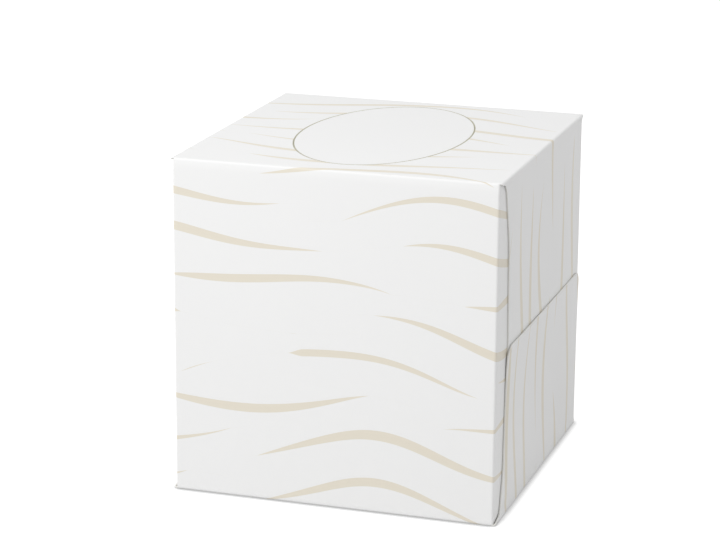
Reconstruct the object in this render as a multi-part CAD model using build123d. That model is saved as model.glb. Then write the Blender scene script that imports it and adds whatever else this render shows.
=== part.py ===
from build123d import *
from math import radians, tan
import os

# Cube tissue box: a carton folded from one sheet of board and sealed, in millimetres.
# The origin is the middle of the base. X runs between the two glued ends, -Y is the front, Z is up.

# Carton, outside sizes
carton_length = 120.0  # X, over the lower flaps at their free edges
carton_depth = 120.0  # Y, front panel to back panel
carton_height = 121.5  # Z

# Board and its folds
board = 0.45  # thickness
fold_radius = 0.8  # outside of a creased fold
flap_spring = 0.45  # glue and springback that keep an outer flap off the dust flaps

# Outer end flaps: the lower one lies over the upper one's free end
seam_height = 61.0  # of the lower flap's free edge above the base
flap_overlap = 12.5  # length of the upper flap that is tucked under the lower one
upper_front_setback = 6.8  # from the front panel to the flap's cut edge, at the fold
lower_front_setback = 6.9
back_setback = 1.8  # from the back panel to the flap's other cut edge
flap_taper = 14.0  # degrees that the front cut edge leans away from the front panel at first
upper_taper_length = 23.0  # from the fold to where the edge turns nearly upright
lower_taper_length = 16.0
edge_lean = 2.2  # degrees that the rest of the edge leans
taper_radius = 40.0  # where the two stretches of the edge meet
shoulder_angle = 18.0  # degrees between the shoulder and the fold
upper_shoulder_radius = 6.0  # where the shoulder meets the tapered edge
lower_shoulder_radius = 3.0
free_corner_radius = 4.5  # corners of a flap's free edge
glue_front_setback = 23.0  # from the front panel to the glued middle of both flaps
glue_back_setback = 6.8

# Glue lap: the back panel's cut edge ends a little above the bottom fold
lap_reveal = 0.6  # from the fold's round to the cut edge

# Oval tear-out in the top panel, held by the ties of its perforation
oval_width = 61.0  # X
oval_length = 100.0  # Y
perforation_width = 0.2
perforation_cut = 5.0
perforation_tie = 1.0

# Planes that the layers of an end lie in, out from the middle of the carton
flap_face = carton_length / 2 - board  # outer flaps, at their folds
dust_face = flap_face - board - flap_spring  # dust flaps
front_face = -carton_depth / 2
back_face = carton_depth / 2
top_face = carton_height
lap_edge = fold_radius + lap_reveal

# Flap lengths from their folds
lower_flap_length = seam_height
upper_flap_length = carton_height - seam_height + flap_overlap

# Front edges of the flaps
upper_cut = (upper_front_setback, upper_taper_length, upper_shoulder_radius)
lower_cut = (lower_front_setback, lower_taper_length, lower_shoulder_radius)


def vertex_near(sketch, y, z):
    """The corner of a flat outline nearest to a point."""
    return sketch.vertices().sort_by_distance(Vector(y, z))[0]


def lap_space():
    """Section of the space behind the glue tab, under the cut edge of the back panel."""
    tab_face = back_face - board
    tab_fold = CenterArc((tab_face - fold_radius, fold_radius), fold_radius, start_angle=270, arc_size=90)
    around = Polyline(
        (tab_face, fold_radius),
        (tab_face, lap_edge),
        (back_face + board, lap_edge),
        (back_face + board, -board),
        (tab_face - fold_radius, -board),
        (tab_face - fold_radius, 0),
    )
    return make_face(tab_fold + around)


def dust_block():
    """Everything out to the dust flaps, with the back panel lapped over the glue tab."""
    block = extrude(Rectangle(2 * dust_face, carton_depth), amount=carton_height)
    block = fillet(block.edges(), fold_radius)
    return block - extrude(Plane.YZ * lap_space(), amount=carton_length, both=True)


def flap_outline(length, cut):
    """Cut outline of an outer flap: (depth from the front panel, distance from the fold)."""
    front_setback, taper_length, shoulder_radius = cut
    lean = tan(radians(flap_taper))
    slope = tan(radians(shoulder_angle))
    reach = (front_setback - fold_radius * slope * lean) / (1 - slope * lean)
    shoulder = (reach, (reach - fold_radius) * slope)
    turn = (front_setback + taper_length * lean, taper_length)
    front_corner = (turn[0] + (length - taper_length) * tan(radians(edge_lean)), length)
    back_corner = (carton_depth - back_setback, length)
    outline = Polyline(
        (fold_radius, 0),
        shoulder,
        turn,
        front_corner,
        back_corner,
        (carton_depth - back_setback, (back_setback - fold_radius) * slope),
        (carton_depth - fold_radius, 0),
        (carton_depth - fold_radius, -fold_radius),
        (fold_radius, -fold_radius),
        close=True,
    )
    flap = make_face(outline)
    flap = fillet([vertex_near(flap, *shoulder)], shoulder_radius)
    flap = fillet([vertex_near(flap, *turn)], taper_radius)
    free_corners = [vertex_near(flap, *front_corner), vertex_near(flap, *back_corner)]
    return fillet(free_corners, free_corner_radius)


def flap_section(length, free_face):
    """Section along an outer flap: (distance from the middle of the carton, distance from the fold)."""
    root = dust_face - 2 * fold_radius
    outline = Polyline((root, 0), (flap_face, 0), (free_face, length), (root, length), close=True)
    section = make_face(outline)
    return fillet([vertex_near(section, flap_face, 0)], fold_radius)


def spring_section(length, free_face):
    """Section of the thin space between an outer flap and the dust flaps, from the fold on."""
    outline = Polyline(
        (dust_face, fold_radius),
        (flap_face - board, fold_radius),
        (free_face - board, length),
        (dust_face, length),
        close=True,
    )
    return make_face(outline)


def crossed(side_view, front_view):
    """What two views of the right end enclose together, each drawn from the fold up."""
    across = extrude(Plane.YZ * Pos(front_face, 0) * side_view, amount=carton_length)
    return across & extrude(Plane.XZ * front_view, amount=carton_depth, both=True)


def end_flap(length, cut, free_face):
    """An outer flap of the right end, folded up from the bottom panel and glued along its middle."""
    outline = flap_outline(length, cut)
    glue_width = carton_depth - glue_front_setback - glue_back_setback
    glued = Pos(glue_front_setback + glue_width / 2, 0) * Rectangle(glue_width, 3 * length)
    plate = crossed(outline, flap_section(length, free_face))
    return plate - crossed(outline - glued, spring_section(length, free_face))


def right_end():
    """The two outer flaps, the lower one rising over the upper one's free end to the seam."""
    lower = end_flap(lower_flap_length, lower_cut, free_face=flap_face + board)
    upper = end_flap(upper_flap_length, upper_cut, free_face=flap_face)
    middle = Plane.XY.offset(carton_height / 2)
    return lower + mirror(upper, about=middle)


def oval_perforation():
    """Cuts around the tear-out, spaced evenly between their ties, as deep as the board."""
    rim = Ellipse(oval_width / 2, oval_length / 2).edge()
    half = perforation_width / 2
    ring = Ellipse(oval_width / 2 + half, oval_length / 2 + half)
    ring -= Ellipse(oval_width / 2 - half, oval_length / 2 - half)
    count = round(rim.length / (perforation_cut + perforation_tie))
    for step in range(count):
        across = Plane(origin=rim @ (step / count), x_dir=rim % (step / count), z_dir=(0, 0, 1))
        ring -= across * Rectangle(perforation_tie, 3 * perforation_width)
    return extrude(Pos(0, 0, top_face - board) * ring, amount=2 * board)


def sealed_carton():
    """The whole carton with its contents, as the one closed solid that it is from outside."""
    right = right_end()
    return dust_block() + right + mirror(right, about=Plane.YZ) - oval_perforation()


os.makedirs("parts", exist_ok=True)
carton = sealed_carton()
carton.label = "sealed_carton"
export_step(carton, "parts/sealed_carton.step")
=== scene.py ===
"""Sealed cube tissue box: a carton folded from one sheet of printed board, with an oval tear-out."""

from typing import NamedTuple

import bmesh
import bpy
import numpy as np
from bpy.props import FloatProperty, FloatVectorProperty, IntProperty, PointerProperty
from mathutils import Matrix, Vector


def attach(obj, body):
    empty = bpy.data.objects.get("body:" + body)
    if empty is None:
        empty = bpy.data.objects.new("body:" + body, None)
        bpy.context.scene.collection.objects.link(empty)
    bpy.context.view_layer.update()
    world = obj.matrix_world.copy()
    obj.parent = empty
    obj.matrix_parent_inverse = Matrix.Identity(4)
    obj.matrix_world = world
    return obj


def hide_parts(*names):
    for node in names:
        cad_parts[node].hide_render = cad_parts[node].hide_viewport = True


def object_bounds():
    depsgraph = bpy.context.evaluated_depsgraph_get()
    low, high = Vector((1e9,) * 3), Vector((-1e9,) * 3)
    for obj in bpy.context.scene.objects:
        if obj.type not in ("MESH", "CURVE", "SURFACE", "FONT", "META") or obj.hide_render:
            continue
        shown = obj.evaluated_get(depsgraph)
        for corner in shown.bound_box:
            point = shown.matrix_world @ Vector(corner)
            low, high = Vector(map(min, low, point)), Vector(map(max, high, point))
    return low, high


bl_info = {
    "name": "Cube tissue box",
    "version": (1, 0, 0),
    "blender": (4, 5, 0),
    "location": "View3D > Sidebar > Tissue box",
    "description": "Folds a sealed tissue box from one printed blank, with a perforated oval tear-out",
    "category": "Add Mesh",
}

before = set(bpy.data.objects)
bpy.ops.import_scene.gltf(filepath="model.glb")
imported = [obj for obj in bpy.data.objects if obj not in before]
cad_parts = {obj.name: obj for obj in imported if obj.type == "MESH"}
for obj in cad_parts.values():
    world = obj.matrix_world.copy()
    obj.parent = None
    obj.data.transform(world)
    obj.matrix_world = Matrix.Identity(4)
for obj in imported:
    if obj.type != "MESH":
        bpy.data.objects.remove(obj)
CAD_LOW, CAD_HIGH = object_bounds()
BODY = "root"
NODE = "sealed_carton"

BLANK = "blank"  # UV map with places on the flat blank, in metres
RING_STEP = "perforation_step"  # attribute with the number of each face of the perforated ring

# How finely the sheet is meshed
QUARTER = np.pi / 2
ARC_STEPS = 6  # faces round a fold
TURN = np.linspace(0, QUARTER, ARC_STEPS + 1)  # angles round a fold
PANEL_STEPS = 60  # faces along each side of the top panel, four times which go round the oval
WALL_STEPS = 26  # faces up a wrapped wall
TAB_STEPS = 6  # faces across the glue tab
EDGE_MARGIN = 0.0004  # width of the first face beside a fold, which keeps its shading tight
ROLL_ROWS = np.array([0.0009, 0.0015, 0.0022, 0.0031])  # rows beside a wall's folds, where it may lean in
FLAP_STEP = 0.004  # between the even rows of an outer flap
LEAST_STEP = 0.00004  # rows of an outer flap that lie closer are left out
OVAL_SAMPLES = 20001  # places round the oval from which its even steps are read
RING_SHARES = (0.0, 0.03, *np.linspace(0.1, 0.9, 9), 0.97, 0.99, 1.0)  # rings from the oval to the rim
MERGE_DISTANCE = 1e-6
SHARP_ANGLE = 35.0  # degrees from which an edge is drawn sharp
LEAST_FACES = 1000  # fewer mean that a modifier has failed

# Folds and cut edges
TAB_DEPTH = 1.1  # from the back panel's face to the glue tab's, in thicknesses of board
BACK_SHOULDER = 1.2  # height of the flaps' back shoulder, in fold radii
BACK_SHOULDER_RADIUS = 0.0001
DUST_PLACES = (0.0, 0.0008, 0.002, 0.0042, 0.0082)  # from a dust flap's fold, where its narrowing is given
DUST_INSETS = (0.0, 0.0001, 0.0002, 0.0005, 0.0012, 0.0026)  # at these places and at its free edge
DUST_STEPS = 8  # rows from the last of these places to the free edge
ROLL_POWER = 8  # how sharply the lean below the top folds is kept to the front and back


class Press(NamedTuple):
    """Where and how far a flap's long cut edge gives way inward."""

    start: float  # from the carton's middle
    reach: float  # from there to where it gives way in full
    fade: float  # power with which this fades towards the free edge
    least: float  # share of the edge press at the fold
    more: float  # what that share gains up to the free edge


LOWER_FRONT_PRESS = Press(start=0.0453, reach=0.002, fade=16, least=0.8, more=0.35)
LOWER_BACK_PRESS = Press(start=0.0453, reach=0.003, fade=2.5, least=0.25, more=0.0)
UPPER_PRESS = Press(start=0.04, reach=0.01, fade=2.5, least=1.0, more=0.0)
PRESS_RISE = 32  # a flap gives way in full from one part in this many of its length on
LOWER_RISE = 0.93  # how far the lower flap's free edge stands out, in thicknesses of board
LOWER_DROP = 0.2  # less at the back edge
LOWER_BEND = 4.5  # power with which it rises towards its free edge
UPPER_BEND = 1.4  # power with which the upper flap sinks towards its tucked end
UPPER_MORE_BEND = 4  # added at the back edge
BACK_POWER = 4  # how closely the change at the back edge keeps to it

# Strokes: the least, and how much more one may have by chance, in metres where nothing else is said
STROKE_REACH = (0.34, 0.14)  # half its length, in pitches
STROKE_SAG = (0.003, 0.004)  # how far it bows up or down
STROKE_SWING = (-0.006, 0.012)  # how far its halves swing to the two sides
STROKE_LEAN = (-0.002, 0.004)  # how far its ends lean to the two sides
STROKE_SHIFT = (-0.0008, 0.0016)  # how far it lies off its row
STROKE_SKEW = (-0.25, 0.5)  # how far its widest place lies off its middle, in half lengths
STROKE_HALF = (0.4, 0.1)  # half its width, in stroke widths
STROKE_SWELL = 0.9  # power with which it swells towards its widest place
LAYER_SHIFT = 0.5  # rows that each layer's number moves it by

# Where the strokes lie
FLOW_PACE = 0.6  # how fast their common waves change up the blank, against along the carton
LAYOUT_STEP = 0.37  # between two layouts, in the noise that gives these waves
BARE_CENTRE = (-0.0361, 0.0592)  # of the bare window: along the front panel, and above its lower edge
BARE_HALF = (0.0195, 0.0095)  # half its width and height
BARE_FADE = 0.006  # over which a stroke narrows beside it
STROKE_EDGE = (-0.00004, 0.00006)  # over which a stroke's edge is soft
LINE_EDGE = (-0.00004, 0.00004)  # over which the oval line's edge is soft
LEAST_SLOPE = 0.001  # keeps the middle of the oval from a division by nothing

# Grain of the board, in waves a metre, and the share of a colour that its darkest places keep
CLOUD_SCALE, CLOUD_SHADE = 35.0, 0.992
FIBRE_SCALE, INK_SHADE = 2600.0, 0.975
RAW_SCALE, RAW_SHADE = 1800.0, 0.86
COAT_SCALE = 420.0
COAT_ROUGHNESS, FIBRE_ROUGHNESS, INK_ROUGHNESS = 0.44, 0.08, -0.03  # of the coat, and what fibre and ink add
FIBRE_HEIGHT, COAT_HEIGHT = 0.35, 0.65  # shares of the bump

# Floor, and the contact shadow painted on it from ambient occlusion where the carton touches it
FLOOR_HALF = 4.0  # half its side
FLOOR_GLOW = 0.8  # what the camera sees of it without any light
FLOOR_WHITE = 0.3  # what it sees of the light on it
FLOOR_BOUNCE = 0.6  # colour that throws light back on the carton
CONTACT_REACH = 0.003  # how far out from the carton the painted shadow reaches
CONTACT_GAIN, CONTACT_OFFSET, CONTACT_LEAST = 1.15, -0.03, 0.5  # from ambient occlusion to the floor's share of white, which paints its contact shadow


def length(name, description, default):
    """A length in metres that the user can change."""
    return FloatProperty(
        name=name,
        description=description,
        default=default,
        min=0.0,
        precision=5,
        unit="LENGTH",
        subtype="DISTANCE",
    )


def angle(name, description, degrees):
    """An angle that the user can change, given in degrees."""
    radians = np.radians(degrees)
    return FloatProperty(
        name=name, description=description, default=radians, unit="ROTATION", subtype="ANGLE"
    )


def factor(name, description, default, low=0.0, high=1.0):
    """A plain number between two limits."""
    return FloatProperty(name=name, description=description, default=default, min=low, max=high, precision=3)


def colour(name, description, default):
    """A colour in linear light."""
    return FloatVectorProperty(
        name=name, description=description, default=default, size=3, min=0.0, max=1.0, subtype="COLOR"
    )


def position(name, description, default):
    """A place in metres."""
    return FloatVectorProperty(
        name=name, description=description, default=default, size=3, unit="LENGTH", subtype="TRANSLATION"
    )


def number(name, description, default, low):
    """A whole number."""
    return IntProperty(name=name, description=description, default=default, min=low)


class CartonSizes(bpy.types.PropertyGroup):
    """Sizes of the folded carton."""

    carton_length: length("Length", "Over the lower end flaps at their free edges", CAD_HIGH.x - CAD_LOW.x)
    carton_depth: length("Depth", "Front panel to back panel", CAD_HIGH.y - CAD_LOW.y)
    carton_height: length("Height", "Base to top panel", CAD_HIGH.z - CAD_LOW.z)
    board: length("Board", "Thickness of the folding board", 0.00045)
    fold_radius: length("Fold radius", "Outside of a creased fold", 0.0008)
    flap_spring: length("Flap spring", "Space between an outer flap and the dust flaps", 0.00045)
    seam_height: length("Seam height", "Free edge of the lower end flap above the base", 0.061)
    flap_overlap: length("Flap overlap", "Part of the upper end flap tucked under the lower one", 0.0125)
    seam_gap: length("Seam gap", "How far the upper flap's tucked end is pressed in", 0.0004)
    edge_press: length("Edge press", "How far the outer flaps' long cut edges are pressed in", 0.00036)
    upper_front_setback: length("Upper setback", "Front panel to the upper flap's cut edge", 0.0068)
    lower_front_setback: length("Lower setback", "Front panel to the lower flap's cut edge", 0.0069)
    back_setback: length("Back setback", "Back panel to the flaps' other cut edge", 0.0018)
    flap_taper: angle("Flap taper", "Lean of a flap's front cut edge at first", 14.0)
    upper_taper_length: length("Upper taper length", "Fold to the turn in the upper flap's front edge", 0.023)
    lower_taper_length: length("Lower taper length", "Fold to the turn in the lower flap's front edge", 0.016)
    edge_lean: angle("Edge lean", "Lean of the rest of the edge", 2.2)
    taper_radius: length("Taper radius", "Where the two stretches of the edge meet", 0.04)
    shoulder_angle: angle("Shoulder angle", "Between the shoulder and the fold", 18.0)
    upper_shoulder_radius: length("Upper shoulder radius", "Where the shoulder meets the tapered edge", 0.006)
    lower_shoulder_radius: length("Lower shoulder radius", "Where the shoulder meets the tapered edge", 0.003)
    free_corner_radius: length("Corner radius", "Corners of a flap's free edge", 0.0045)
    dust_length: length("Dust flap length", "Length of the folded-in dust flaps", 0.042)
    glue_tab: length("Glue tab", "Width of the tab glued behind the back panel", 0.013)
    lap_reveal: length("Lap reveal", "Bottom fold to the back panel's cut edge", 0.0006)
    bulge: length("Bulge", "How far the panels' middles stand out beyond their folds", 0.00022)
    roll_depth: length("Roll depth", "How far the front and back lean in below their top folds", 0.0002)
    roll_reach: length("Roll reach", "How far down they start to lean in", 0.0028)


class OvalSizes(bpy.types.PropertyGroup):
    """Sizes of the perforated tear-out in the top panel."""

    oval_width: length("Width", "Across the carton's length", 0.061)
    oval_length: length("Length", "Along the carton's depth", 0.1)
    cut_width: length("Cut width", "Width of the perforation's cuts", 0.00014)
    cut_faces: number("Cut faces", "Faces of the ring that one cut takes out", 5, low=1)
    tie_faces: number("Tie faces", "Faces of the ring left as a tie", 1, low=1)


class PrintLook(bpy.types.PropertyGroup):
    """Colours and scale of the printed board."""

    board_colour: colour("Board", "White coated face of the board", (0.885, 0.885, 0.882))
    stroke_colour: colour("Strokes", "Beige of the swept strokes", (0.79, 0.737, 0.63))
    line_colour: colour("Oval line", "Olive gold of the line round the tear-out", (0.42, 0.4, 0.27))
    raw_colour: colour("Raw board", "Uncoated side and cut edges", (0.82, 0.81, 0.77))
    pitch_along: length("Pitch along", "Distance between strokes along the carton's length", 0.118)
    pitch_across: length("Pitch across", "Distance between rows of strokes of one layer", 0.03)
    stroke_width: length("Stroke width", "Width of a stroke at its widest", 0.0035)
    wave_length: length("Wave length", "Scale of the waves that the strokes follow together", 0.075)
    wave_height: length("Wave height", "Full height of these waves", 0.028)
    line_width: length("Line width", "Width of the printed oval line", 0.0006)
    layout: number("Layout", "Number of the chance layout of the strokes", 10, low=0)


class StageLook(bpy.types.PropertyGroup):
    """Camera and studio light."""

    camera_place: position("Camera place", "Where the camera stands", (0.2662, -0.862, 0.3203))
    azimuth: angle("Azimuth", "Turn of the view round the carton", 17.72)
    elevation: angle("Elevation", "Height of the view above the horizon", 15.466)
    roll: angle("Roll", "Turn of the picture about the view", 0.39)
    focal_length: FloatProperty(
        name="Focal length", description="Lens in millimetres", default=128.2, min=1.0, unit="CAMERA"
    )
    ambient: factor("Ambient", "Strength of the even light from all round", 0.752, high=5.0)
    key_power: factor("Key", "Power of the soft light before the front, in watts", 3.05, high=100.0)
    key_size: length("Key size", "Side of the square soft light", 0.7)
    key_place: position("Key place", "Where the middle of the soft light is", (-0.3, -0.6, 0.55))


# Folding


def spaced(start, end, steps):
    """Places from start to end in even steps, with a narrow first and last one."""
    margin = EDGE_MARGIN * np.sign(end - start)
    return np.concatenate([[start], np.linspace(start + margin, end - margin, steps - 1), [end]])


class Wrap:
    """The four wrapped panels in section: rows of depth, height and place along the blank."""

    def __init__(self, sizes):
        r = sizes.fold_radius
        half = sizes.carton_depth / 2
        top = sizes.carton_height
        tab_face = half - sizes.board * TAB_DEPTH
        lap_edge = r + sizes.lap_reveal
        self.place = 0.0
        self.walls = {}
        self.folds = {}
        self.wall("tab", (tab_face, sizes.glue_tab), (tab_face, r), TAB_STEPS)
        self.fold("tab", (tab_face - r, r), (1, 0), (0, -1), r)
        self.wall("bottom", (tab_face - r, 0), (r - half, 0), WALL_STEPS)
        self.fold("bottom", (r - half, r), (0, -1), (-1, 0), r)
        self.wall("front", (-half, r), (-half, top - r), WALL_STEPS)
        self.fold("front", (r - half, top - r), (-1, 0), (0, 1), r)
        self.wall("top", (r - half, top), (half - r, top), PANEL_STEPS)
        self.fold("top", (half - r, top - r), (0, 1), (1, 0), r)
        self.wall("back", (half, top - r), (half, lap_edge), WALL_STEPS)

    def wall(self, name, start, end, steps):
        """A flat panel from start to end, each (depth, height). A wrapped wall gets the roll rows too."""
        start, end = np.array(start), np.array(end)
        size = np.linalg.norm(end - start)
        along = spaced(0.0, size, steps)
        if steps == WALL_STEPS:
            along = np.sort(np.concatenate([along, ROLL_ROWS, size - ROLL_ROWS]))
        rows = start + np.outer(along / size, end - start)
        self.walls[name] = np.column_stack([rows, self.place + along])
        self.place += size

    def fold(self, name, centre, first, last, radius):
        """A creased fold that turns from one direction to the other about its centre."""
        out = np.outer(np.cos(TURN), first) + np.outer(np.sin(TURN), last)
        self.folds[name] = (np.array(centre), out, self.place + radius * TURN)
        self.place += radius * QUARTER


class Sheet:
    """Patches of the folded board, each a grid that runs along the length, then along the blank."""

    def __init__(self):
        self.places = []
        self.blank = []
        self.steps = []
        self.faces = []
        self.count = 0

    def add(self, places, blank, steps=None):
        """A patch of places (n, m, 3) with blank coordinates (n, m, 2) and ring steps (n - 1, m - 1)."""
        n, m = places.shape[:2]
        index = self.count + np.arange(n * m).reshape(n, m)
        quads = np.stack([index[:-1, :-1], index[1:, :-1], index[1:, 1:], index[:-1, 1:]], axis=-1)
        self.faces.append(quads.reshape(-1, 4))
        self.places.append(places.reshape(-1, 3))
        self.blank.append(blank.reshape(-1, 2))
        self.steps.append(np.full((n - 1) * (m - 1), -1) if steps is None else steps.reshape(-1))
        self.count += n * m

    def add_both(self, places, blank):
        """A patch of the right end and its twin on the left."""
        self.add(places, blank)
        self.add(places[::-1] * (-1, 1, 1), blank[::-1] * (-1, 1))

    def mesh(self, name, settle):
        """The patches as one mesh, with the rows that they share merged."""
        places = settle(np.concatenate(self.places))
        faces = np.concatenate(self.faces)
        mesh = bpy.data.meshes.new(name)
        mesh.from_pydata(places.tolist(), [], faces.tolist())
        uv = mesh.uv_layers.new(name=BLANK)
        uv.data.foreach_set("uv", np.concatenate(self.blank)[faces.reshape(-1)].reshape(-1))
        step = mesh.attributes.new(RING_STEP, "INT", "FACE")
        step.data.foreach_set("value", np.concatenate(self.steps).astype(np.int32))
        merged = bmesh.new()
        merged.from_mesh(mesh)
        bmesh.ops.remove_doubles(merged, verts=merged.verts, dist=MERGE_DISTANCE)
        merged.to_mesh(mesh)
        merged.free()
        return mesh


def grid(columns, rows):
    """Two arrays that repeat the columns along the rows and the rows along the columns."""
    return np.meshgrid(columns, rows, indexing="ij")


def flap_face(sizes):
    """Distance from the carton's middle to the outer flaps' faces, at their folds."""
    return sizes.carton_length / 2 - sizes.board


def dust_face(sizes):
    """Distance from the carton's middle to the dust flaps' faces."""
    return flap_face(sizes) - sizes.board - sizes.flap_spring


def rounded(points, radii):
    """A line of points with its inner corners rounded by arcs."""
    points = [np.array(point, float) for point in points]
    line = [points[0]]
    for before, corner, after, radius in zip(points, points[1:], points[2:], radii):
        a = (before - corner) / np.linalg.norm(before - corner)
        b = (after - corner) / np.linalg.norm(after - corner)
        half = np.arccos(np.clip(a @ b, -1, 1)) / 2
        middle = (a + b) / np.linalg.norm(a + b)
        centre = corner + middle * radius / np.sin(half)
        start = corner + a * radius / np.tan(half) - centre
        end = corner + b * radius / np.tan(half) - centre
        sweep = np.pi - 2 * half
        for share in np.linspace(0, 1, ARC_STEPS + 1):
            spoke = (np.sin((1 - share) * sweep) * start + np.sin(share * sweep) * end) / np.sin(sweep)
            line.append(centre + spoke)
    line.append(points[-1])
    return np.array(line)


def flap_rows(sizes, flap_length, cut):
    """Distances from the fold along an outer flap, with the depths of its two cut edges at each."""
    r = sizes.fold_radius
    setback, taper_length, shoulder_radius = cut
    lean, slope = np.tan(sizes.flap_taper), np.tan(sizes.shoulder_angle)
    depth = sizes.carton_depth
    back = depth - sizes.back_setback
    reach = (setback - r * slope * lean) / (1 - slope * lean)
    turn = setback + taper_length * lean
    corner = turn + (flap_length - taper_length) * np.tan(sizes.edge_lean)
    end = (depth / 2, flap_length)
    front_cut = rounded(
        [(r, r), (reach, (reach - r) * slope), (turn, taper_length), (corner, flap_length), end],
        [shoulder_radius, sizes.taper_radius, sizes.free_corner_radius],
    )
    back_cut = rounded(
        [(depth - r, r), (back, r * BACK_SHOULDER), (back, flap_length), end],
        [BACK_SHOULDER_RADIUS, sizes.free_corner_radius],
    )
    fill = np.arange(r, flap_length, FLAP_STEP)
    away = np.sort(np.concatenate([front_cut[:-1, 1], back_cut[:-1, 1], fill]))
    keep = [away[0]]
    for value in away[1:]:
        if value - keep[-1] > LEAST_STEP:
            keep.append(value)
    keep[-1] = flap_length
    away = np.array(keep)
    front = np.interp(away, front_cut[:-1, 1], front_cut[:-1, 0])
    behind = np.interp(away, back_cut[:-1, 1], back_cut[:-1, 0])
    return away, front - depth / 2, behind - depth / 2


def outer_flap(sheet, sizes, rows, flap_length, cut, upright, lift):
    """An outer end flap with its fold and the strip of panel that reaches to it, from a panel's rows."""
    r = sizes.fold_radius
    face = flap_face(sizes)
    fold_start = face - r
    panel_end = dust_face(sizes) - r
    away, front, behind = flap_rows(sizes, flap_length, cut)
    away, front, behind = away[1:], front[1:], behind[1:]
    y_first, y_last = rows[0, 0], rows[-1, 0]
    share = (rows[:, 0] - y_first) / (y_last - y_first)
    first, last = (front, behind) if y_first < y_last else (behind, front)
    bend = len(TURN) + 1
    x = np.concatenate([[panel_end], fold_start + r * np.sin(TURN), np.full(len(away), face)])
    drop = np.concatenate([[0], r * (1 - np.cos(TURN)), away])
    along = np.concatenate([[panel_end], fold_start + r * TURN, fold_start + r * QUARTER + away - r])
    first = np.concatenate([np.full(bend, y_first), first])
    last = np.concatenate([np.full(bend, y_last), last])
    y = first[:, None] + (last - first)[:, None] * share
    shape = y.shape
    reach = np.broadcast_to(drop[:, None], shape)
    free_share = np.clip((reach - r) / (flap_length - r), 0, 1)
    x = np.broadcast_to(x[:, None], shape) + lift(sizes, free_share, y)
    z = reach if upright else sizes.carton_height - reach
    direction = np.sign(y_last - y_first)
    blank_y = rows[0, 2] + (y - y_first) * direction
    blank = np.stack([np.broadcast_to(along[:, None], shape), blank_y], axis=-1)
    sheet.add_both(np.stack([x, y, z], axis=-1), blank)


def near_back(sizes, y):
    """From 0 before the back edge to 1 at the back panel."""
    return np.clip(y / sizes.carton_depth + 0.5, 0, 1) ** BACK_POWER


def pressed_in(sizes, press, share, y):
    """How far a flap gives way inward, at its long cut edge and away from its fold and its free end."""
    near_edge = np.clip((abs(y) - press.start) / press.reach, 0, 1)
    full = sizes.edge_press * near_edge * np.minimum(share * PRESS_RISE, 1) * (1 - share**press.fade)
    return (press.least + press.more * share) * full


def lower_lift(sizes, share, y):
    """How far the lower flap stands out over the upper one, at a share of its length from the fold."""
    front, back = (pressed_in(sizes, press, share, y) for press in (LOWER_FRONT_PRESS, LOWER_BACK_PRESS))
    rise = sizes.board * (LOWER_RISE - LOWER_DROP * near_back(sizes, y)) * share**LOWER_BEND
    return rise - np.where(y < 0, front, back)


def upper_lift(sizes, share, y):
    """How far the upper flap sinks in towards its tucked end."""
    sink = sizes.seam_gap * share ** (UPPER_BEND + UPPER_MORE_BEND * near_back(sizes, y))
    return -sink - pressed_in(sizes, UPPER_PRESS, share, y)


def fold_corner(sheet, sizes, fold, part):
    """Part of a long fold from the dust flaps out to the outer flaps, drawn together at its end."""
    centre, out, place = fold
    out, place = out[part], place[part]
    r = sizes.fold_radius
    fold_start = flap_face(sizes) - r
    panel_end = dust_face(sizes) - r
    x = np.concatenate([[panel_end], fold_start + r * np.sin(TURN)])
    size = np.concatenate([[r], r * np.cos(TURN)])
    along = np.concatenate([[panel_end], fold_start + r * TURN])
    xs, places = grid(x, place)
    y = centre[0] + np.outer(size, out[:, 0])
    z = centre[1] + np.outer(size, out[:, 1])
    blank = np.stack([grid(along, place)[0], places], axis=-1)
    sheet.add_both(np.stack([xs, y, z], axis=-1), blank)


def folded_in(sheet, sizes, fold, part):
    """The other part of a long fold, which turns in with the dust flap below or above it."""
    centre, out, place = fold
    out, place = out[part], place[part]
    r = sizes.fold_radius
    panel_end = dust_face(sizes) - r
    x = panel_end + r * np.outer(np.sin(TURN), abs(out[:, 0]))
    y = centre[0] + r * np.outer(np.cos(TURN), out[:, 0])
    z = grid(TURN, centre[1] + r * out[:, 1])[1]
    blank = np.stack(grid(panel_end + r * TURN, place), axis=-1)
    sheet.add_both(np.stack([x, y, z], axis=-1), blank)


def dust_flap(sheet, sizes, rows):
    """A dust flap folded in from an upright wall, a little narrower towards its free edge."""
    r = sizes.fold_radius
    half = sizes.carton_depth / 2
    face = dust_face(sizes)
    side = np.sign(rows[0, 0])
    even = np.linspace(DUST_PLACES[-1], sizes.dust_length, DUST_STEPS)
    away = np.concatenate([[EDGE_MARGIN], DUST_PLACES[1:-1], even])
    x = np.concatenate([face - r + r * np.sin(TURN), np.full(len(away), face)])
    y = side * np.concatenate([half - r + r * np.cos(TURN), half - r - away])
    along = np.concatenate([face - r + r * TURN, face - r + r * QUARTER + away])
    narrowed = np.interp(away, (*DUST_PLACES, sizes.dust_length), DUST_INSETS)
    inset = np.concatenate([np.zeros(len(TURN)), narrowed])
    middle = (rows[0, 1] + rows[-1, 1]) / 2
    width = abs(rows[-1, 1] - rows[0, 1])
    squeeze = 1 - 2 * inset / width
    z = middle + np.outer(squeeze, rows[:, 1] - middle)
    direction = np.sign(rows[-1, 1] - rows[0, 1])
    blank_y = rows[:, 2] + (z - rows[:, 1]) * direction
    xs = grid(x, rows[:, 1])[0]
    ys = grid(y, rows[:, 1])[0]
    blank = np.stack([grid(along, rows[:, 1])[0], blank_y], axis=-1)
    sheet.add_both(np.stack([xs, ys, z], axis=-1), blank)


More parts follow.
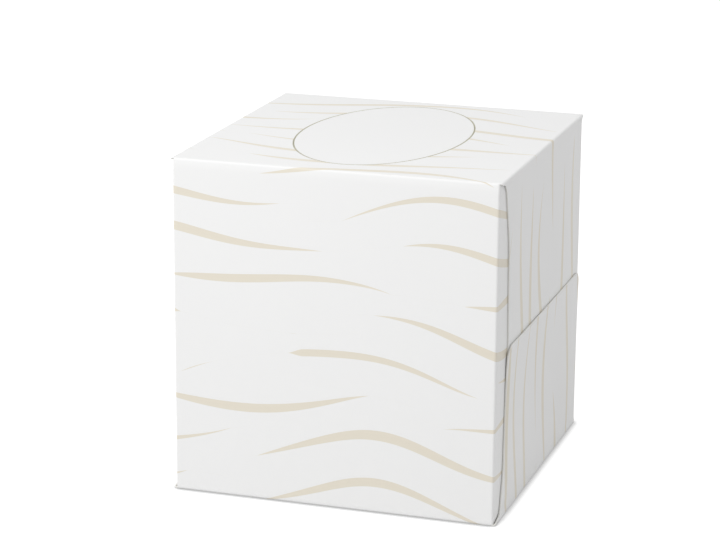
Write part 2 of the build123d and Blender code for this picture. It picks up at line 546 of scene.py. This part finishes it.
def oval_loop(width, depth, steps):
    """Points evenly spaced round an oval, from the middle of its right side, the last one on the first."""
    turn = np.linspace(0, 4 * QUARTER, OVAL_SAMPLES)
    line = np.column_stack([width / 2 * np.cos(turn), depth / 2 * np.sin(turn)])
    walked = np.concatenate([[0], np.cumsum(np.linalg.norm(np.diff(line, axis=0), axis=1))])
    at = np.linspace(0, walked[-1], steps + 1)
    loop = np.column_stack([np.interp(at, walked, line[:, 0]), np.interp(at, walked, line[:, 1])])
    loop[-1] = loop[0]
    return loop


def top_panel(sheet, oval, columns, rows):
    """The top panel, meshed round its oval, with each face of the perforated ring numbered."""
    n = PANEL_STEPS
    half = n // 2
    y = rows[:, 0]
    right, left = columns[-1], columns[0]
    loop = [(right, v) for v in y[half:]]
    loop += [(u, y[-1]) for u in columns[::-1][1:]]
    loop += [(left, v) for v in y[::-1][1:]]
    loop += [(u, y[0]) for u in columns[1:]]
    loop += [(right, v) for v in y[1 : half + 1]]
    edge = np.array(loop)
    inner = oval_loop(oval.oval_width - oval.cut_width, oval.oval_length - oval.cut_width, 4 * n)
    outer = oval_loop(oval.oval_width + oval.cut_width, oval.oval_length + oval.cut_width, 4 * n)
    rings = [inner] + [outer + (edge - outer) * share for share in RING_SHARES]
    around = np.stack(rings)
    steps = np.full((len(rings) - 1, 4 * n), -1)
    steps[0] = np.arange(4 * n)
    corners = [inner[5 * half], inner[7 * half], inner[3 * half], inner[half]]
    front = inner[5 * half : 7 * half + 1]
    back = inner[half : 3 * half + 1][::-1]
    west = inner[3 * half : 5 * half + 1][::-1]
    east = np.concatenate([inner[7 * half :], inner[1 : half + 1]])
    t = np.linspace(0, 1, n + 1)
    u, v = grid(t, t)
    u, v = u[..., None], v[..., None]
    middle = (1 - v) * front[:, None] + v * back[:, None] + (1 - u) * west[None] + u * east[None]
    middle -= (1 - u) * (1 - v) * corners[0] + u * (1 - v) * corners[1]
    middle -= (1 - u) * v * corners[2] + u * v * corners[3]
    for flat, numbers in ((around, steps), (middle, None)):
        blank = flat + (0, rows[0, 2] - y[0])
        height = np.full(flat.shape[:2] + (1,), rows[0, 1])
        sheet.add(np.concatenate([flat, height], axis=-1), blank, numbers)


def settled(sizes):
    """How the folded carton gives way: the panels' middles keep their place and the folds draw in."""
    half_x, half_y, top = sizes.carton_length / 2, sizes.carton_depth / 2, sizes.carton_height

    def settle(places):
        x, y, z = places.T
        across = np.clip(1 - (x / half_x) ** 2, 0, 1)
        deep = np.clip(1 - (y / half_y) ** 2, 0, 1)
        high = np.clip(1 - (2 * z / top - 1) ** 2, 0, 1)
        below = np.clip(1 - (top - sizes.fold_radius - z) / sizes.roll_reach, 0, 1) ** 2
        roll = sizes.roll_depth * (below * (y / half_y) ** ROLL_POWER)
        return np.column_stack(
            [
                x * (1 - sizes.bulge / half_x * (1 - deep * high)),
                y * (1 - sizes.bulge / half_y * (1 - across * high)) - np.sign(y) * roll,
                z * (1 - sizes.bulge / top * (1 - across * deep)),
            ]
        )

    return settle


class Nodes:
    """Short ways to write a tree of nodes."""

    def __init__(self, tree):
        self.tree = tree
        tree.nodes.clear()

    def new(self, kind, values=None, **settings):
        """A node with its settings, and its sockets set or linked by name or number."""
        node = self.tree.nodes.new(kind)
        for name, value in settings.items():
            setattr(node, name, value)
        for key, value in (values or {}).items():
            self.put(node.inputs[key], value)
        return node

    def put(self, socket, value):
        """Links the socket to another one, or sets its value."""
        if isinstance(value, bpy.types.NodeSocket):
            self.tree.links.new(value, socket)
        else:
            socket.default_value = value

    def maths(self, operation, *values):
        """The result of one sum."""
        node = self.new("ShaderNodeMath", operation=operation)
        for socket, value in zip(node.inputs, values):
            self.put(socket, value)
        return node.outputs[0]

    def compare(self, operation, first, second):
        """Whether two whole numbers compare so."""
        node = self.new("FunctionNodeCompare", data_type="INT", operation=operation)
        for socket, value in zip([s for s in node.inputs if s.type == "INT"], (first, second)):
            self.put(socket, value)
        return node.outputs[0]

    def ramp(self, value, low, high):
        """From 0 to 1, smoothly, while the value goes from low to high."""
        node = self.new("ShaderNodeMapRange", interpolation_type="SMOOTHSTEP")
        for socket, part in zip(node.inputs, (value, low, high)):
            self.put(socket, part)
        return node.outputs[0]

    def chance(self, a, b, c):
        """Three chance numbers from 0 to 1 that belong to three given ones."""
        spot = self.new("ShaderNodeCombineXYZ", {"X": a, "Y": b, "Z": c}).outputs[0]
        noise = self.new("ShaderNodeTexWhiteNoise", {"Vector": spot}, noise_dimensions="3D")
        parts = self.new("ShaderNodeSeparateColor", {"Color": noise.outputs["Color"]})
        return parts.outputs[0], parts.outputs[1], parts.outputs[2]

    def varied(self, chance, bounds, unit=1.0):
        """The least, and as much of what may be added as the chance number says."""
        least, more = bounds
        return self.maths("MULTIPLY_ADD", chance, unit * more, unit * least)

    def from_one(self, value):
        """One less the value's square, and never below nothing."""
        return self.maths("MAXIMUM", self.maths("SUBTRACT", 1.0, self.maths("MULTIPLY", value, value)), 0.0)

    def mix(self, share, first, second):
        """Two colours mixed."""
        node = self.new("ShaderNodeMix", data_type="RGBA")
        sockets = [node.inputs["Factor"]] + [s for s in node.inputs if s.type == "RGBA"]
        for socket, value in zip(sockets, (share, first, second)):
            self.put(socket, value)
        return [s for s in node.outputs if s.type == "RGBA"][0]

    def noise(self, vector, scale, detail=2.0, roughness=0.5):
        """Soft noise about one half."""
        values = {"Vector": vector, "Scale": scale, "Detail": detail, "Roughness": roughness}
        return self.new("ShaderNodeTexNoise", values).outputs["Fac"]


def perforation_tree(material):
    """Geometry Nodes that take the cuts out of the numbered ring and leave the ties."""
    tree = bpy.data.node_groups.new("Oval perforation", "GeometryNodeTree")
    tree.interface.new_socket("Sheet", in_out="INPUT", socket_type="NodeSocketGeometry")
    cut = tree.interface.new_socket("Cut faces", in_out="INPUT", socket_type="NodeSocketInt")
    tie = tree.interface.new_socket("Tie faces", in_out="INPUT", socket_type="NodeSocketInt")
    tree.interface.new_socket("Sheet", in_out="OUTPUT", socket_type="NodeSocketGeometry")
    nodes = Nodes(tree)
    given = nodes.new("NodeGroupInput").outputs
    named = nodes.new("GeometryNodeInputNamedAttribute", {"Name": RING_STEP}, data_type="INT")
    step = named.outputs["Attribute"]
    sum_of = {0: given["Cut faces"], 1: given["Tie faces"]}
    pitch = nodes.new("FunctionNodeIntegerMath", sum_of, operation="ADD").outputs[0]
    place = nodes.new("FunctionNodeIntegerMath", {0: step, 1: pitch}, operation="FLOORED_MODULO").outputs[0]
    in_cut = nodes.compare("LESS_THAN", place, given["Cut faces"])
    on_ring = nodes.compare("GREATER_EQUAL", step, 0)
    both = nodes.new("FunctionNodeBooleanMath", {0: in_cut, 1: on_ring}, operation="AND").outputs[0]
    values = {"Geometry": given["Sheet"], "Selection": both}
    left = nodes.new("GeometryNodeDeleteGeometry", values, domain="FACE").outputs[0]
    whole = nodes.new("GeometryNodeRealizeInstances", {"Geometry": left}).outputs[0]
    finished = nodes.new("GeometryNodeSetMaterial", {"Geometry": whole, "Material": material}).outputs[0]
    nodes.new("NodeGroupOutput", {"Sheet": finished})
    return tree, cut.identifier, tie.identifier


def plain_copy(piece):
    """The piece's mesh as its modifiers leave it, which the piece then has instead of them."""
    graph = bpy.context.evaluated_depsgraph_get()
    result = piece.evaluated_get(graph)
    mesh = bpy.data.meshes.new_from_object(result, preserve_all_data_layers=True, depsgraph=graph)
    piece.modifiers.clear()
    piece.data = mesh
    return mesh


# Finishes


def new_nodes(owner):
    """The emptied nodes of a new material or world."""
    owner.use_nodes = True
    return Nodes(owner.node_tree)


def opaque(rgb, share=1.0):
    """A share of a colour, with full alpha."""
    return (*(part * share for part in rgb), 1.0)


def stroke_layer(nodes, x, s, look, seed):
    """Half width and distance from the middle, for one layer of long tapered waves, each different."""
    maths = nodes.maths
    row_place = maths("ADD", maths("DIVIDE", s, look.pitch_across), LAYER_SHIFT * seed)
    row = maths("FLOOR", row_place)
    cell = maths("ADD", maths("DIVIDE", x, look.pitch_along), nodes.chance(row, 7.0, seed)[0])
    column = maths("FLOOR", cell)
    one, two, three = nodes.chance(column, row, seed)
    four, five, six = nodes.chance(column, row, seed + 0.5)
    seven = nodes.chance(column, row, seed + 0.25)[0]
    beside = maths("SUBTRACT", maths("SUBTRACT", cell, column), 0.5)
    t = maths("DIVIDE", beside, nodes.varied(one, STROKE_REACH))
    arch = nodes.from_one(t)
    side = maths("SUBTRACT", maths("MULTIPLY", maths("GREATER_THAN", two, 0.5), 2.0), 1.0)
    sag = maths("MULTIPLY", side, nodes.varied(three, STROKE_SAG))
    bow = maths("MULTIPLY", sag, maths("SUBTRACT", arch, 0.5))
    swing = maths("MULTIPLY", maths("MULTIPLY", t, arch), nodes.varied(four, STROKE_SWING))
    lean = maths("MULTIPLY", t, nodes.varied(five, STROKE_LEAN))
    shift = nodes.varied(six, STROKE_SHIFT)
    centre = maths("ADD", maths("ADD", bow, swing), maths("ADD", lean, shift))
    v = maths("MULTIPLY", maths("SUBTRACT", maths("SUBTRACT", row_place, row), 0.5), look.pitch_across)
    distance = maths("ABSOLUTE", maths("SUBTRACT", v, centre))
    skew = maths("ADD", t, maths("MULTIPLY", arch, nodes.varied(seven, STROKE_SKEW)))
    swell = maths("POWER", nodes.from_one(skew), STROKE_SWELL)
    half = maths("MULTIPLY", swell, nodes.varied(six, STROKE_HALF, look.stroke_width))
    return half, distance


def stroke_mask(nodes, x, s, look, front_start):
    """Two layers of strokes, the rows of one between the other's, that stop at the bare window."""
    maths = nodes.maths
    centre_x, centre_s = BARE_CENTRE[0], front_start + BARE_CENTRE[1]
    beside_x = maths("SUBTRACT", maths("ABSOLUTE", maths("SUBTRACT", x, centre_x)), BARE_HALF[0])
    beside_s = maths("SUBTRACT", maths("ABSOLUTE", maths("SUBTRACT", s, centre_s)), BARE_HALF[1])
    room = nodes.ramp(maths("MAXIMUM", beside_x, beside_s), 0.0, BARE_FADE)
    spot = {"X": x, "Y": maths("MULTIPLY", s, FLOW_PACE), "Z": LAYOUT_STEP * look.layout}
    flow = nodes.new("ShaderNodeCombineXYZ", spot).outputs[0]
    noise = nodes.noise(flow, 1 / look.wave_length, 0.0)
    s = maths("ADD", s, maths("MULTIPLY_ADD", noise, look.wave_height, -0.5 * look.wave_height))
    layers = []
    for seed in (2.0 * look.layout, 2.0 * look.layout + 1.0):
        half, distance = stroke_layer(nodes, x, s, look, seed)
        layers.append(maths("SUBTRACT", maths("MULTIPLY", half, room), distance))
    return nodes.ramp(maths("MAXIMUM", *layers), *STROKE_EDGE)


def oval_share(nodes, x, y, half_width, half_length):
    """Length of (x / half width, y / half length)."""
    maths = nodes.maths
    across = maths("POWER", maths("DIVIDE", maths("ABSOLUTE", x), half_width), 2.0)
    along = maths("POWER", maths("DIVIDE", maths("ABSOLUTE", y), half_length), 2.0)
    return maths("SQRT", maths("ADD", across, along))


def printed_board(oval, look, top_middle, front_start):
    """White coated board with a soft sheen, printed with beige strokes and the line round the tear-out."""
    material = bpy.data.materials.new("printed_board")
    nodes = new_nodes(material)
    maths = nodes.maths
    blank = nodes.new("ShaderNodeUVMap", uv_map=BLANK).outputs[0]
    parts = nodes.new("ShaderNodeSeparateXYZ", {0: blank})
    x, s = parts.outputs["X"], parts.outputs["Y"]
    solid = nodes.new("ShaderNodeTexCoord").outputs["Object"]
    strokes = stroke_mask(nodes, x, s, look, front_start)
    half_width, half_length = oval.oval_width / 2, oval.oval_length / 2
    y = maths("SUBTRACT", s, top_middle)
    ring = oval_share(nodes, x, y, half_width, half_length)
    slope = maths("MAXIMUM", oval_share(nodes, x, y, half_width**2, half_length**2), LEAST_SLOPE)
    off_ring = maths("ABSOLUTE", maths("SUBTRACT", ring, 1.0))
    off_line = maths("DIVIDE", maths("MULTIPLY", off_ring, ring), slope)
    line = nodes.ramp(maths("SUBTRACT", look.line_width / 2, off_line), *LINE_EDGE)
    strokes = maths("MULTIPLY", strokes, maths("GREATER_THAN", ring, 1.0))
    cloud = nodes.noise(solid, CLOUD_SCALE, 3.0)
    fibre = nodes.noise(solid, FIBRE_SCALE, 3.0, 0.6)
    coat = nodes.noise(solid, COAT_SCALE, 2.0)
    ground = nodes.mix(cloud, opaque(look.board_colour, CLOUD_SHADE), opaque(look.board_colour))
    ink = nodes.mix(fibre, opaque(look.stroke_colour, INK_SHADE), opaque(look.stroke_colour))
    base = nodes.mix(line, nodes.mix(strokes, ground, ink), opaque(look.line_colour))
    printed = maths("MULTIPLY", maths("MAXIMUM", strokes, line), INK_ROUGHNESS)
    height = maths("ADD", maths("MULTIPLY", fibre, FIBRE_HEIGHT), maths("MULTIPLY", coat, COAT_HEIGHT))
    bump = nodes.new("ShaderNodeBump", {"Strength": 0.12, "Distance": 0.00004, "Height": height})
    values = {
        "Base Color": base,
        "Roughness": maths("ADD", maths("MULTIPLY_ADD", fibre, FIBRE_ROUGHNESS, COAT_ROUGHNESS), printed),
        "Normal": bump.outputs[0],
        "IOR": 1.45,
        "Specular IOR Level": 0.4,
    }
    shader = nodes.new("ShaderNodeBsdfPrincipled", values)
    nodes.new("ShaderNodeOutputMaterial", {"Surface": shader.outputs[0]})
    return material


def raw_board(look):
    """Uncoated grey-cream fibre of the board's inner side and cut edges."""
    material = bpy.data.materials.new("raw_board")
    nodes = new_nodes(material)
    solid = nodes.new("ShaderNodeTexCoord").outputs["Object"]
    fibre = nodes.noise(solid, RAW_SCALE, 4.0, 0.65)
    base = nodes.mix(fibre, opaque(look.raw_colour, RAW_SHADE), opaque(look.raw_colour))
    bump = nodes.new("ShaderNodeBump", {"Strength": 0.3, "Distance": 0.00005, "Height": fibre})
    values = {"Base Color": base, "Roughness": 0.85, "Normal": bump.outputs[0]}
    shader = nodes.new("ShaderNodeBsdfPrincipled", values)
    nodes.new("ShaderNodeOutputMaterial", {"Surface": shader.outputs[0]})
    return material


# The carton


def wrapped_panels(sheet, sizes, wrap, columns):
    """The wrap's folds and flat panels between the two ends, but for the top panel."""
    r = sizes.fold_radius
    for name in ("tab", "bottom", "front", "back"):
        rows = wrap.walls[name]
        x, y = grid(columns, rows[:, 0])
        z, along = grid(columns, rows[:, 1])[1], grid(columns, rows[:, 2])[1]
        sheet.add(np.stack([x, y, z], axis=-1), np.stack([x, along], axis=-1))
    for centre, out, place in wrap.folds.values():
        x, y = grid(columns, centre[0] + r * out[:, 0])
        z, along = grid(columns, centre[1] + r * out[:, 1])[1], grid(columns, place)[1]
        sheet.add(np.stack([x, y, z], axis=-1), np.stack([x, along], axis=-1))


def end_corners(sheet, sizes, wrap):
    """The ends of the long folds, each shared out between an outer flap and a dust flap."""
    middle = ARC_STEPS // 2
    first, last = slice(None, middle + 1), slice(middle, None)
    fold_corner(sheet, sizes, wrap.folds["tab"], slice(None))
    for name, flap_part, wall_part in (("bottom", first, last), ("front", last, first), ("top", first, last)):
        fold_corner(sheet, sizes, wrap.folds[name], flap_part)
        folded_in(sheet, sizes, wrap.folds[name], wall_part)


def end_flaps(sheet, sizes, wrap):
    """The dust flaps of both ends, and their outer flaps, the lower one over the upper one's free end."""
    for name in ("front", "back"):
        dust_flap(sheet, sizes, wrap.walls[name])
    lower_cut = (sizes.lower_front_setback, sizes.lower_taper_length, sizes.lower_shoulder_radius)
    upper_cut = (sizes.upper_front_setback, sizes.upper_taper_length, sizes.upper_shoulder_radius)
    upper_length = sizes.carton_height - sizes.seam_height + sizes.flap_overlap
    outer_flap(sheet, sizes, wrap.walls["bottom"], sizes.seam_height, lower_cut, True, lower_lift)
    outer_flap(sheet, sizes, wrap.walls["top"], upper_length, upper_cut, False, upper_lift)


def perforate(carton, oval, material):
    """Takes the perforation's cuts out of the sheet."""
    tree, cut, tie = perforation_tree(material)
    perforation = carton.modifiers.new("Oval perforation", "NODES")
    perforation.node_group = tree
    perforation[cut] = oval.cut_faces
    perforation[tie] = oval.tie_faces
    return plain_copy(carton)


def thicken(carton, sizes):
    """Gives the sheet the board's thickness inwards, with the second material on its inside and cut edges."""
    wall = carton.modifiers.new("Board", "SOLIDIFY")
    wall.thickness = sizes.board
    wall.offset = -1
    wall.use_even_offset = True
    wall.use_quality_normals = True
    wall.material_offset = 1
    wall.material_offset_rim = 1
    return plain_copy(carton)


class TISSUEBOX_OT_fold_carton(bpy.types.Operator):
    """Folds the printed carton and perforates its oval"""

    bl_idname = "tissuebox.fold_carton"
    bl_label = "Fold carton"
    bl_options = {"REGISTER", "UNDO"}

    def execute(self, context):
        sizes = context.scene.tissue_carton
        oval = context.scene.tissue_oval
        look = context.scene.tissue_print
        wrap = Wrap(sizes)
        panel_end = dust_face(sizes) - sizes.fold_radius
        columns = spaced(-panel_end, panel_end, PANEL_STEPS)
        top_rows = wrap.walls["top"]
        sheet = Sheet()
        wrapped_panels(sheet, sizes, wrap, columns)
        end_corners(sheet, sizes, wrap)
        top_panel(sheet, oval, columns, top_rows)
        end_flaps(sheet, sizes, wrap)

        top_middle = (top_rows[0, 2] + top_rows[-1, 2]) / 2
        front_start = wrap.walls["front"][0, 2] - sizes.fold_radius
        printed = printed_board(oval, look, float(top_middle), float(front_start))
        carton = bpy.data.objects.new("folded_carton", sheet.mesh("folded_carton", settled(sizes)))
        context.scene.collection.objects.link(carton)
        mesh = perforate(carton, oval, printed)
        mesh.materials.clear()
        mesh.materials.append(printed)
        mesh.materials.append(raw_board(look))
        mesh = thicken(carton, sizes)
        mesh.name = "folded_carton"
        mesh.polygons.foreach_set("use_smooth", [True] * len(mesh.polygons))
        mesh.set_sharp_from_angle(angle=np.radians(SHARP_ANGLE))
        if len(mesh.polygons) < LEAST_FACES:
            raise RuntimeError("the folded carton has lost its faces")
        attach(carton, BODY)
        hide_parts(NODE)
        return {"FINISHED"}


class TISSUEBOX_OT_set_stage(bpy.types.Operator):
    """Sets the pale floor, the soft studio light and the camera"""

    bl_idname = "tissuebox.set_stage"
    bl_label = "Set stage"
    bl_options = {"REGISTER", "UNDO"}

    def execute(self, context):
        scene = context.scene
        look = scene.tissue_stage
        self.floor(scene)
        self.light(scene, look)
        self.camera(scene, look)
        scene.view_settings.view_transform = "Standard"
        return {"FINISHED"}

    def floor(self, scene):
        """A floor that is white to the camera, with a contact shadow painted into its glow and colour from
        ambient occlusion where the carton touches it.
        """
        corners = [(-FLOOR_HALF, -FLOOR_HALF, 0), (FLOOR_HALF, -FLOOR_HALF, 0)]
        corners += [(FLOOR_HALF, FLOOR_HALF, 0), (-FLOOR_HALF, FLOOR_HALF, 0)]
        mesh = bpy.data.meshes.new("floor")
        mesh.from_pydata(corners, [], [(0, 1, 2, 3)])
        floor = bpy.data.objects.new("floor", mesh)
        scene.collection.objects.link(floor)
        material = bpy.data.materials.new("white_floor")
        nodes = new_nodes(material)
        maths = nodes.maths
        path = nodes.new("ShaderNodeLightPath").outputs
        mirrored = maths("MAXIMUM", path["Is Glossy Ray"], path["Is Transmission Ray"])
        seen = maths("MAXIMUM", path["Is Camera Ray"], mirrored)
        # painted contact shadow: ambient occlusion darkens the floor's glow and colour beside the carton
        contact_shade = nodes.new("ShaderNodeAmbientOcclusion", {"Distance": CONTACT_REACH}, samples=8)
        share = maths("MULTIPLY_ADD", contact_shade.outputs["AO"], CONTACT_GAIN, CONTACT_OFFSET)
        share = maths("MAXIMUM", share, CONTACT_LEAST)
        glow = nodes.new("ShaderNodeEmission", {"Strength": maths("MULTIPLY", share, FLOOR_GLOW)})
        white = opaque((1, 1, 1), FLOOR_WHITE)
        lit = nodes.new("ShaderNodeBsdfDiffuse", {"Color": nodes.mix(share, opaque((0, 0, 0)), white)})
        shown = nodes.new("ShaderNodeAddShader", {0: glow.outputs[0], 1: lit.outputs[0]})
        plain = nodes.new("ShaderNodeBsdfDiffuse", {"Color": opaque((1, 1, 1), FLOOR_BOUNCE)})
        both = nodes.new("ShaderNodeMixShader", {0: seen, 1: plain.outputs[0], 2: shown.outputs[0]})
        nodes.new("ShaderNodeOutputMaterial", {"Surface": both.outputs[0]})
        mesh.materials.append(material)

    def light(self, scene, look):
        """Even light from all round, white to the camera, and one soft key from before the front."""
        world = bpy.data.worlds.new("studio")
        scene.world = world
        nodes = new_nodes(world)
        path = nodes.new("ShaderNodeLightPath").outputs
        seen = nodes.maths("MAXIMUM", path["Is Camera Ray"], path["Is Glossy Ray"])
        values = {"Value": seen, "To Min": look.ambient, "To Max": 1.0}
        strength = nodes.new("ShaderNodeMapRange", values).outputs[0]
        background = nodes.new("ShaderNodeBackground", {"Color": opaque((1, 1, 1)), "Strength": strength})
        nodes.new("ShaderNodeOutputWorld", {"Surface": background.outputs[0]})
        lamp = bpy.data.lights.new("key", "AREA")
        lamp.energy = look.key_power
        lamp.size = look.key_size
        key = bpy.data.objects.new("key", lamp)
        middle = (CAD_LOW + CAD_HIGH) / 2
        key.location = look.key_place
        key.rotation_euler = (key.location - middle).to_track_quat("Z", "Y").to_euler()
        scene.collection.objects.link(key)

    def camera(self, scene, look):
        """The camera at the photographed angle."""
        data = bpy.data.cameras.new("camera")
        data.lens = look.focal_length
        data.sensor_width = 36.0
        data.clip_start = 0.01
        data.clip_end = 50.0
        camera = bpy.data.objects.new("camera", data)
        a, e, c = look.azimuth, look.elevation, look.roll
        back = Vector((np.sin(a) * np.cos(e), -np.cos(a) * np.cos(e), np.sin(e)))
        right = (-back).cross(Vector((0, 0, 1))).normalized()
        up = right.cross(-back)
        rolled_right = right * np.cos(c) + up * np.sin(c)
        rolled_up = up * np.cos(c) - right * np.sin(c)
        turn = Matrix((rolled_right, rolled_up, back)).transposed()
        camera.matrix_world = Matrix.Translation(look.camera_place) @ turn.to_4x4()
        scene.collection.objects.link(camera)
        scene.camera = camera


class TISSUEBOX_PT_parts(bpy.types.Panel):
    """Lists what the add-on makes"""

    bl_label = "Tissue box"
    bl_space_type = "VIEW_3D"
    bl_region_type = "UI"
    bl_category = "Tissue box"

    def draw(self, context):
        layout = self.layout
        for operator in (TISSUEBOX_OT_fold_carton, TISSUEBOX_OT_set_stage):
            layout.operator(operator.bl_idname)
        for name in ("tissue_carton", "tissue_oval", "tissue_print", "tissue_stage"):
            group = getattr(context.scene, name)
            box = layout.box()
            for key in group.__annotations__:
                box.prop(group, key)


GROUPS = {
    "tissue_carton": CartonSizes,
    "tissue_oval": OvalSizes,
    "tissue_print": PrintLook,
    "tissue_stage": StageLook,
}
CLASSES = (*GROUPS.values(), TISSUEBOX_OT_fold_carton, TISSUEBOX_OT_set_stage, TISSUEBOX_PT_parts)


def register():
    for kind in CLASSES:
        bpy.utils.register_class(kind)
    for name, group in GROUPS.items():
        setattr(bpy.types.Scene, name, PointerProperty(type=group))


def unregister():
    for name in GROUPS:
        delattr(bpy.types.Scene, name)
    for kind in reversed(CLASSES):
        bpy.utils.unregister_class(kind)


def main():
    register()
    for operator in (bpy.ops.tissuebox.fold_carton, bpy.ops.tissuebox.set_stage):
        if operator() != {"FINISHED"}:
            raise RuntimeError("a piece was not made")


if __name__ == "__main__":
    main()
